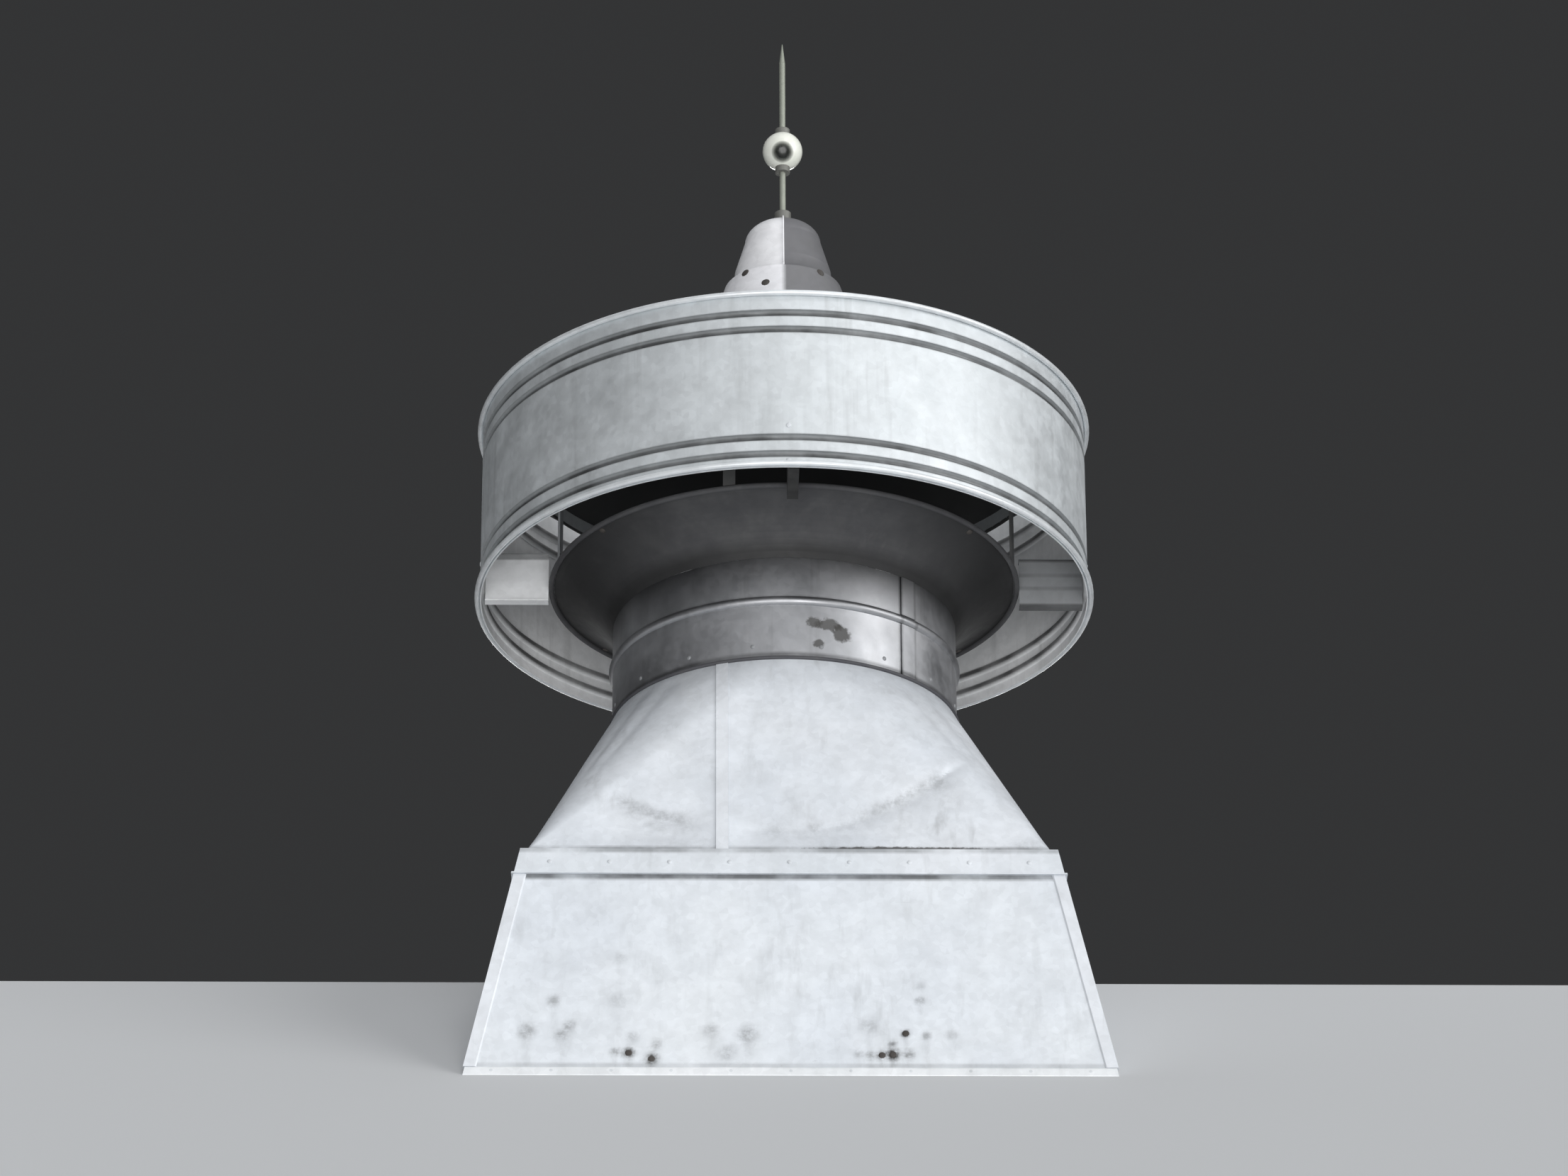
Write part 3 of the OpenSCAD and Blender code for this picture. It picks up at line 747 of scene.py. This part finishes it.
def skirt_wave(along, height, quarter):
    """Depth of the shallow waves that handling leaves in a flat sheet."""
    shift, layer = SIDE_APART
    p = Vector((along * WAVES_ALONG + shift * quarter, height * WAVES_UP, layer * quarter))
    wave = 0.5 + 0.5 * noise.noise(p) + SIDE_RIPPLE * noise.noise(p * RIPPLE_RATE)
    edge = smooth_step(SKIRT_TOP - TOP_FADE[0] - height, 0.0, TOP_FADE[1])
    half = BASE_HALF - height * LEAN_RATE
    edge *= smooth_step(half - HIP_FADE[0] - abs(along), 0.0, HIP_FADE[1])
    if quarter in (0, 2):
        edge *= smooth_step(height, *FOOT_FADE)
    return SIDE_WAVE * wave * edge


def skirt_sheet(name, quarter):
    """One side of the base, cut below as its solid is."""
    through = SHEET / math.cos(math.atan(LEAN_RATE))
    marks = marks_for(quarter)

    def point(u, w, inset):
        v = 2 * u - 1
        low = skirt_lowest(v, quarter, inset)
        z = low + (SKIRT_TOP - low) * w
        half = BASE_HALF - GAP - z * LEAN_RATE - inset
        x = v * half
        y = -(BASE_HALF - z * LEAN_RATE) + inset + skirt_wave(x, z, quarter)
        return turn((x, y, z), quarter)

    def rust(u, w):
        v = 2 * u - 1
        low = skirt_lowest(v, quarter, 0)
        z = low + (SKIRT_TOP - low) * w
        x = v * (BASE_HALF - GAP - z * LEAN_RATE)
        most = 0.0
        for mx, mz, size, strength in marks:
            away = (x - mx) ** 2 + (z - mz) ** 2
            spot = math.exp(-(away / (size * size)) ** MARK_END)
            below = mz - z
            run = 0.0
            if 0 < below < RUN_LENGTH * size:
                run = RUN_SHARE * math.exp(-((x - mx) / (RUN_WIDTH * size)) ** 2)
                run *= 1 - below / (RUN_LENGTH * size)
            most = max(most, strength * spot, strength * run)
        return most

    bm = bmesh.new()
    shell(bm, SIDE_COLUMNS, SIDE_ROWS, lambda u, w: point(u, w, 0),
          lambda u, w: point(u, w, through), False, rust)
    return finish_mesh(name, bm, skirt_metal, SHEET_SMOOTH)


# Hem: its upper lip, its steps along the edge, and how its height wanders above the fold
HEM_TOP = 0.020
HEM_STEPS = 120
HEM_WOBBLE = 0.0006
HEM_RATES = (16, 5.0, 30)
HEM_STILL = 0.002
HEM_SMOOTH = 35


def hem(name, quarter):
    """Lower edge folded outwards and back up, with a rounded fold and a soft upper lip."""
    low = skirt_lowest(0, quarter, -SHEET)
    section = [(0.0000, low + 0.0010), (0.0018, low), (0.0029, low + 0.0016),
               (0.0030, low + 0.006), (0.0028, HEM_TOP - 0.004), (0.0022, HEM_TOP - 0.001),
               (0.0012, HEM_TOP), (0.0002, HEM_TOP)]
    bm = bmesh.new()
    last = None
    for i in range(HEM_STEPS + 1):
        v = 2 * i / HEM_STEPS - 1
        ring = []
        for out, z in section:
            if z > low + HEM_STILL:
                along, apart, up = HEM_RATES
                z += HEM_WOBBLE * noise.noise(Vector((v * along, quarter * apart, z * up)))
            half = BASE_HALF - GAP - z * LEAN_RATE
            face = -(half + GAP)
            ring.append(bm.verts.new(turn((v * half, face - out, z), quarter)))
        if last:
            join_rings(bm, last, ring)
        else:
            bm.faces.new(ring)
        last = ring
    bm.faces.new(last[::-1])
    return finish_mesh(name, bm, hem_metal, HEM_SMOOTH)


for quarter, side in enumerate(("front", "right", "back", "left")):
    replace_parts(skirt_sheet(f"skirt_{side}_sheet", quarter), f"skirt_{side}")
    if quarter in (0, 2):
        hem(f"hem_{side}", quarter)


# Transition from the square base to the round throat

# The share of each side's run that is flat; the rest turns round the corner
FLAT_SHARE = 0.44


def transition_outline(u):
    """Foot and neck points of the ruled line at u, and how near it is to a corner's middle."""
    quarter = int(u * 4) % 4
    part = u * 4 - int(u * 4)
    if part < FLAT_SHARE / 2 or part > 1 - FLAT_SHARE / 2:
        before = part < FLAT_SHARE / 2
        t = part / FLAT_SHARE + 0.5 if before else (part - 1) / FLAT_SHARE + 0.5
        foot = (FOOT_HALF * (2 * t - 1), -FOOT_HALF)
        neck = (0.0, -NECK_R)
        side = quarter if before else quarter + 1
        corner = 0.0
    else:
        t = (part - FLAT_SHARE / 2) / (1 - FLAT_SHARE)
        foot = (FOOT_HALF, -FOOT_HALF)
        neck = (NECK_R * math.sin(t * math.pi / 2), -NECK_R * math.cos(t * math.pi / 2))
        side = quarter
        corner = 1 - abs(2 * t - 1)
    foot = turn((*foot, 0), side % 4)
    neck = turn((*neck, 0), side % 4)
    return foot, neck, corner


# The smile-shaped crease across the front: its lowest height and the rise of its arms, its
# depth in the middle, what is added across the right and the left arm, how far it spreads
# above and below, and where it ends
CREASE_Z = 0.612
CREASE_RISE_RIGHT = 1.32
CREASE_RISE_LEFT = 1.45
CREASE_DEPTH = 0.0055
CREASE_RIGHT, CREASE_RIGHT_SPAN = 0.0115, (-0.05, 0.28)
CREASE_LEFT, CREASE_LEFT_SPAN = 0.0065, (0.16, 0.28)
CREASE_ABOVE = 0.014
CREASE_BELOW = 0.055
CREASE_HALF = 0.40
CREASE_FADE = 0.08
CREASE_FRONT = -0.2

# The sheets' shallow hollows: their depth, their numbers in a metre, and the flat strip that
# they leave for the seam
HOLLOW = 0.0035
HOLLOWS_ACROSS, HOLLOWS_UP = 3.0, 3.4
SEAM_FLAT = (0.012, 0.06)

# The folds beside the hips: their place and reach from the corner's edge, and their depth
HIP_FOLD_AT = 0.16
HIP_FOLD_REACH = 0.09
HIP_FOLD_DEPTH = 0.0045
HIP_FOLD_RISE = (0.35, 0.7)

# The shares of the height at the foot and at the neck in which the dents fade out
FOOT_STILL = 0.10
NECK_STILL = 0.08


def crease_height(x):
    """Height of the shallow smile-shaped crease across the front."""
    return CREASE_Z + (CREASE_RISE_RIGHT * x * x if x > 0 else CREASE_RISE_LEFT * abs(x) ** 3)


def transition_dent(p):
    """Depth of the smile-shaped crease and the shallow hollows of the sheets."""
    place = Vector((p.x * HOLLOWS_ACROSS, p.y * HOLLOWS_ACROSS, p.z * HOLLOWS_UP))
    depth = HOLLOW * (0.5 + 0.5 * noise.noise(place))
    if p.y < CREASE_FRONT:
        away = p.z - crease_height(p.x)
        side = smooth_step(CREASE_HALF - abs(p.x), 0.0, CREASE_FADE)
        strong = (CREASE_DEPTH + CREASE_RIGHT * smooth_step(p.x, *CREASE_RIGHT_SPAN)
                  + CREASE_LEFT * smooth_step(-p.x, *CREASE_LEFT_SPAN))
        fold = math.exp(-abs(away) / (CREASE_ABOVE if away > 0 else CREASE_BELOW))
        depth += strong * fold * side
    return depth * smooth_step(abs(p.x - SEAM_X), *SEAM_FLAT)


def transition_point(u, w, inset):
    """A point of the transition, on its face or set in from it."""
    foot, neck, corner = transition_outline(u)
    low = Vector((foot.x, foot.y, FOOT_Z))
    high = Vector((neck.x, neck.y, NECK_Z))
    p = low.lerp(high, w)
    out = Vector((p.x, p.y, 0)).normalized()
    edge = smooth_step(w, 0.0, FOOT_STILL) * smooth_step(1 - w, 0.0, NECK_STILL)
    p -= out * (transition_dent(p) * edge)
    beside = (1 - corner - HIP_FOLD_AT) / HIP_FOLD_REACH
    fold = math.exp(-beside * beside) * smooth_step(w, *HIP_FOLD_RISE)
    p -= out * (HIP_FOLD_DEPTH * fold * edge)
    return p - out * inset


# Faint spots of painted shade along the crease: place across, height, size, strength
CREASE_SHADE_MARKS = [
    (-0.340, 0.664, 0.022, 0.20), (-0.285, 0.622, 0.018, 0.26), (-0.222, 0.620, 0.022, 0.18),
    (-0.024, 0.610, 0.030, 0.20), (0.058, 0.618, 0.020, 0.32), (0.320, 0.742, 0.026, 0.34),
    (0.255, 0.695, 0.030, 0.16), (0.020, 0.596, 0.045, 0.10), (0.125, 0.622, 0.035, 0.15),
]

# Painted shade along the crease's arms, on the face above the fold: its strength, how far over
# the crease it lies and reaches, and where it begins and ends on the left and on the right
ARM_SHADE = 0.34
ARM_SHADE_UP = 0.006
ARM_SHADE_REACH = 0.018
LEFT_ARM, LEFT_END, LEFT_END_FADE = (0.17, 0.24), 0.385, 0.04
RIGHT_ARM, RIGHT_END, RIGHT_END_FADE = (0.08, 0.20), 0.345, 0.03

# Dirt along the foot: its strength, height, number of patches in a metre and evenness
FOOT_DIRT_STRENGTH = 0.42
FOOT_DIRT_HEIGHT = 0.05
FOOT_DIRT_RATE = 9
FOOT_DIRT_EVEN = 0.1

TRANSITION_COLUMNS, TRANSITION_ROWS = 320, 96
WALL_LEAN = math.radians(20)


def transition_dirt_and_shade(u, w):
    """How dark the transition is painted at a place: dirt along its foot and painted shade along
    the crease.
    """
    foot, neck, _ = transition_outline(u)
    p = foot.lerp(neck, w)
    z = FOOT_Z + (NECK_Z - FOOT_Z) * w
    low = smooth_step(FOOT_Z + FOOT_DIRT_HEIGHT - z, 0.0, FOOT_DIRT_HEIGHT)
    place = Vector((p.x * FOOT_DIRT_RATE, p.y * FOOT_DIRT_RATE, z * FOOT_DIRT_RATE))
    most = FOOT_DIRT_STRENGTH * low * max(0.0, noise.noise(place) + FOOT_DIRT_EVEN)
    if p.y < 0:
        for mx, mz, size, strength in CREASE_SHADE_MARKS:
            away = (p.x - mx) ** 2 + (z - mz) ** 2
            most = max(most, strength * math.exp(-away / (size * size)))
        arms = (ARM_SHADE * smooth_step(-p.x, *LEFT_ARM)
                * smooth_step(LEFT_END + p.x, 0.0, LEFT_END_FADE)
                + ARM_SHADE * smooth_step(p.x, *RIGHT_ARM)
                * smooth_step(RIGHT_END - p.x, 0.0, RIGHT_END_FADE))
        above = (z - crease_height(p.x) - ARM_SHADE_UP) / ARM_SHADE_REACH
        most = max(most, arms * math.exp(-above ** 2))
    return most


def transition_part(name, keep_left):
    """The half of the transition on one side of its seams."""
    through = SHEET / math.cos(WALL_LEAN)
    bm = bmesh.new()
    shell(bm, TRANSITION_COLUMNS, TRANSITION_ROWS, lambda u, w: transition_point(u, w, 0),
          lambda u, w: transition_point(u, w, through), True, transition_dirt_and_shade)
    cut = SEAM_X - GAP / 2 if keep_left else SEAM_X + GAP / 2
    whole = bm.verts[:] + bm.edges[:] + bm.faces[:]
    bmesh.ops.bisect_plane(bm, geom=whole, plane_co=(cut, 0, 0), plane_no=(1, 0, 0),
                           clear_outer=keep_left, clear_inner=not keep_left)
    open_edges = [edge for edge in bm.edges if edge.is_boundary]
    bmesh.ops.holes_fill(bm, edges=open_edges, sides=0)
    return finish_mesh(name, bm, transition_metal, SHEET_SMOOTH)


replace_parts(transition_part("transition_left_sheet", True), "transition_left")
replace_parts(transition_part("transition_right_sheet", False), "transition_right")


# Rivets, nails and bolts

# Radius and height of the heads, their number, and where they stand
RIVET_HEAD = (0.005, 0.0022)
CLEAT_RIVETS, CLEAT_RIVET_REACH, CLEAT_RIVET_PITCH = 9, 0.50, 0.125
COLLAR_RIVETS, COLLAR_RIVET_UP = 16, 0.034
HEM_NAIL_HEAD = (0.004, 0.0004)
HEM_NAILS, HEM_NAIL_REACH, HEM_NAIL_PITCH = 11, 0.61, 0.122
HEM_NAIL_Z, HEM_NAIL_OUT = 0.011, SHEET * 0.9
RUSTED_HEAD = (0.0075, 0.0018)
RUSTED_FROM = 0.8
RUSTED_SUNK = 0.0005
BAND_RIVET_HEAD = (0.006, 0.0025)
BAND_RIVETS, BAND_RIVETS_UP = 4, (0.016, 0.100)
RIVET_SUNK = 0.0002
FINIAL_NAIL_HEAD = (0.0100, 0.0025)
BOLT_HEAD = (0.0075, 0.003)

# The bolts lie where steep lines meet the mouth from below: each starts far off on the other
# side, passes the axis, and is BOLT_DROP under the mouth's top when it is BOLT_R beyond it
BOLT_AZIMUTHS = (-127, -53, 53, 127)
BOLT_DROP = 0.034
BOLT_STEEP = -1.2
BOLT_R = 0.48
FAR = 2


def skirt_place(along, height, quarter, out):
    """The point and normal at a place on a side of the base."""
    y = -(BASE_HALF - height * LEAN_RATE) - out
    normal = turn((0, -1, LEAN_RATE), quarter)
    return turn((along, y, height), quarter), normal


def round_place(angle, radius, height):
    """The point and normal at a place on an upright round wall."""
    way = Vector(level_way(angle))
    return way * radius + Vector((0, 0, height)), way


def on_node(node, azimuth, height, rise):
    """The point and normal where a line that comes from an azimuth meets a node's surface.

    It crosses the axis at a height, and is higher by rise for each metre before the axis.
    """
    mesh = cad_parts[node].data
    tree = BVHTree.FromPolygons([v.co for v in mesh.vertices],
                                [f.vertices[:] for f in mesh.polygons])
    way = Vector(level_way(math.radians(azimuth)))
    start = way * FAR + Vector((0, 0, height + FAR * rise))
    point, normal, _, _ = tree.ray_cast(start, -(way + Vector((0, 0, rise))).normalized())
    return point, normal


cleat_mid = (CLEAT_LOW + SKIRT_TOP) / 2
cleat_rivets = [skirt_place(-CLEAT_RIVET_REACH + i * CLEAT_RIVET_PITCH, cleat_mid, quarter,
                            SHEET + GAP)
                for quarter in range(4) for i in range(CLEAT_RIVETS)]
studs("cleat_rivets", cleat_rivets, *RIVET_HEAD, rivet_metal)

hem_nails = [skirt_place(-HEM_NAIL_REACH + i * HEM_NAIL_PITCH, HEM_NAIL_Z, quarter,
                         HEM_NAIL_OUT)
             for quarter in (0, 2) for i in range(HEM_NAILS)]
studs("hem_nails", hem_nails, *HEM_NAIL_HEAD, rivet_metal)

rusted_nails = [skirt_place(x, z, 0, -RUSTED_SUNK) for x, z, _, strength in FRONT_MARKS
                if strength >= RUSTED_FROM]
studs("rusted_nails", rusted_nails, *RUSTED_HEAD, dark_rivet_metal)

throat_rivets = [round_place(2 * math.pi * (i + 0.5) / COLLAR_RIVETS, THROAT_R - RIVET_SUNK,
                             NECK_Z + COLLAR_RIVET_UP)
                 for i in range(COLLAR_RIVETS)]
studs("throat_rivets", throat_rivets, *RIVET_HEAD, grey_metal)

band_rivets = [round_place(k * math.pi / 2, BAND_R - RIVET_SUNK, BAND_LOW + up)
               for k in range(BAND_RIVETS) for up in BAND_RIVETS_UP]
studs("band_rivets", band_rivets, *BAND_RIVET_HEAD, rivet_metal)

# Nails round the finial's foot: azimuth from the front and height above its lower edge
FINIAL_NAILS = [(-39.9, 0.146), (-16.0, 0.099), (38.0, 0.146), (66.0, 0.070),
                (112.0, 0.146), (164.0, 0.070), (-148.0, 0.146), (-96.0, 0.070)]
finial_nails = [on_node("finial_foot", azimuth, FINIAL_LOW + height, 0.0)
                for azimuth, height in FINIAL_NAILS]
studs("finial_nails", finial_nails, *FINIAL_NAIL_HEAD, dark_rivet_metal)

bolt_axis_z = MOUTH_HIGH - BOLT_DROP + BOLT_STEEP * BOLT_R
mouth_bolts = [on_node("flared_mouth", azimuth, bolt_axis_z, BOLT_STEEP)
               for azimuth in BOLT_AZIMUTHS]
studs("mouth_bolts", mouth_bolts, *BOLT_HEAD, dark_rivet_metal)


# Stage: a plain pale surface folded to the pitch that the base is cut for, so that it
# stands on it

STAGE_X = 9.0
STAGE_Y = 15.0
STAGE_DROP = 0.001
STAGE_COLOUR = (0.62, 0.63, 0.64)
STAGE_ROUGHNESS = 0.95
STAGE_SPECULAR = 0.1


def stage_surface():
    """Makes the floor, a little under the base's lower edges."""
    rise = SEAT_HALF * NOTCH_SLOPE - STAGE_DROP
    low = rise - STAGE_Y * NOTCH_SLOPE
    mesh = bpy.data.meshes.new("stage_surface")
    verts = []
    for x in (-STAGE_X, STAGE_X):
        verts += [(x, -STAGE_Y, low), (x, 0, rise), (x, STAGE_Y, low)]
    mesh.from_pydata(verts, [], [(0, 3, 4, 1), (1, 4, 5, 2)])
    stage = bpy.data.objects.new("stage_surface", mesh)
    bpy.context.scene.collection.objects.link(stage)
    look = Look("stage_look")
    mesh.materials.append(look.shade({"Base Color": STAGE_COLOUR,
                                      "Roughness": STAGE_ROUGHNESS,
                                      "Specular IOR Level": STAGE_SPECULAR}))


stage_surface()


# The soft light all round: its middle stands at an azimuth, it fades to the far side and
# below, and a patch overhead adds to it
SOFT_AZIMUTH = math.radians(20)
SOFT_COLOUR = (0.95, 0.97, 1.0)
BACK_LEVEL = 0.036
FRONT_LEVEL = 0.42
FROM_BELOW = 0.4
FROM_ABOVE = 0.65
SIDE_SPAN = (-0.2, 1)
BELOW_SPAN = (-0.4, 0.1)
ABOVE_SPAN = (0.62, 1.0)


def world_light():
    """A plain studio round the object, bright at the front right and dimmer behind it."""
    world = bpy.data.worlds.new("studio")
    bpy.context.scene.world = world
    world.use_nodes = True
    nodes = Nodes(world.node_tree)
    nodes.tree.nodes.clear()
    way = nodes.add("ShaderNodeTexCoord").outputs["Generated"]
    facing = nodes.dot(way, level_way(SOFT_AZIMUTH))
    height = nodes.axis(way, "Z")
    round_it = nodes.span(facing, *SIDE_SPAN, BACK_LEVEL, FRONT_LEVEL, "SMOOTHSTEP")
    dimmed = nodes.span(height, *BELOW_SPAN, FROM_BELOW, 1, "SMOOTHSTEP")
    overhead = nodes.span(height, *ABOVE_SPAN, 0.0, FROM_ABOVE, "SMOOTHSTEP")
    light = nodes.add("ShaderNodeBackground")
    nodes.feed(SOFT_COLOUR, light.inputs["Color"])
    nodes.feed(nodes.maths("ADD", nodes.product(round_it, dimmed), overhead),
               light.inputs["Strength"])
    out = nodes.add("ShaderNodeOutputWorld")
    nodes.feed(light.outputs["Background"], out.inputs["Surface"])


world_light()


# Distant lamps: azimuth from the front towards +X, elevation, strength and angular size
LAMPS = [
    ("key_lamp", 22, 46, 0.30, 20),
    ("side_lamp", 62, 10, 1.3, 40),
    ("low_lamp", 0, -20, 1.65, 40),
    ("back_lamp", 180, 6, 1.5, 30),
]

for name, azimuth, elevation, strength, size in LAMPS:
    data = bpy.data.lights.new(name, "SUN")
    data.energy = strength
    data.angle = math.radians(size)
    lamp = bpy.data.objects.new(name, data)
    bpy.context.scene.collection.objects.link(lamp)
    a, e = math.radians(azimuth), math.radians(elevation)
    towards = Vector((math.sin(a) * math.cos(e), -math.cos(a) * math.cos(e), math.sin(e)))
    lamp.rotation_mode = "QUATERNION"
    lamp.rotation_quaternion = towards.to_track_quat("Z", "Y")


# Camera: where the photograph's camera stood, turned to the object, with a longer lens
CAMERA_PLACE = Vector((-0.20, -12.24, -4.546))
AIM = Vector((0.0, 0.0, 1.43))
LENS = 140.0
SENSOR = 36.0
CLIP_END = 200.0
ROLL = math.radians(0.2)

camera_data = bpy.data.cameras.new("photo_camera")
camera = bpy.data.objects.new("photo_camera", camera_data)
bpy.context.scene.collection.objects.link(camera)
camera_data.lens = LENS
camera_data.sensor_width = SENSOR
camera_data.clip_end = CLIP_END
camera.location = CAMERA_PLACE
camera.rotation_mode = "QUATERNION"
level_view = (AIM - CAMERA_PLACE).to_track_quat("-Z", "Y")
camera.rotation_quaternion = level_view @ Quaternion((0, 0, 1), -ROLL)
bpy.context.scene.camera = camera

bpy.context.scene.view_settings.view_transform = "Standard"
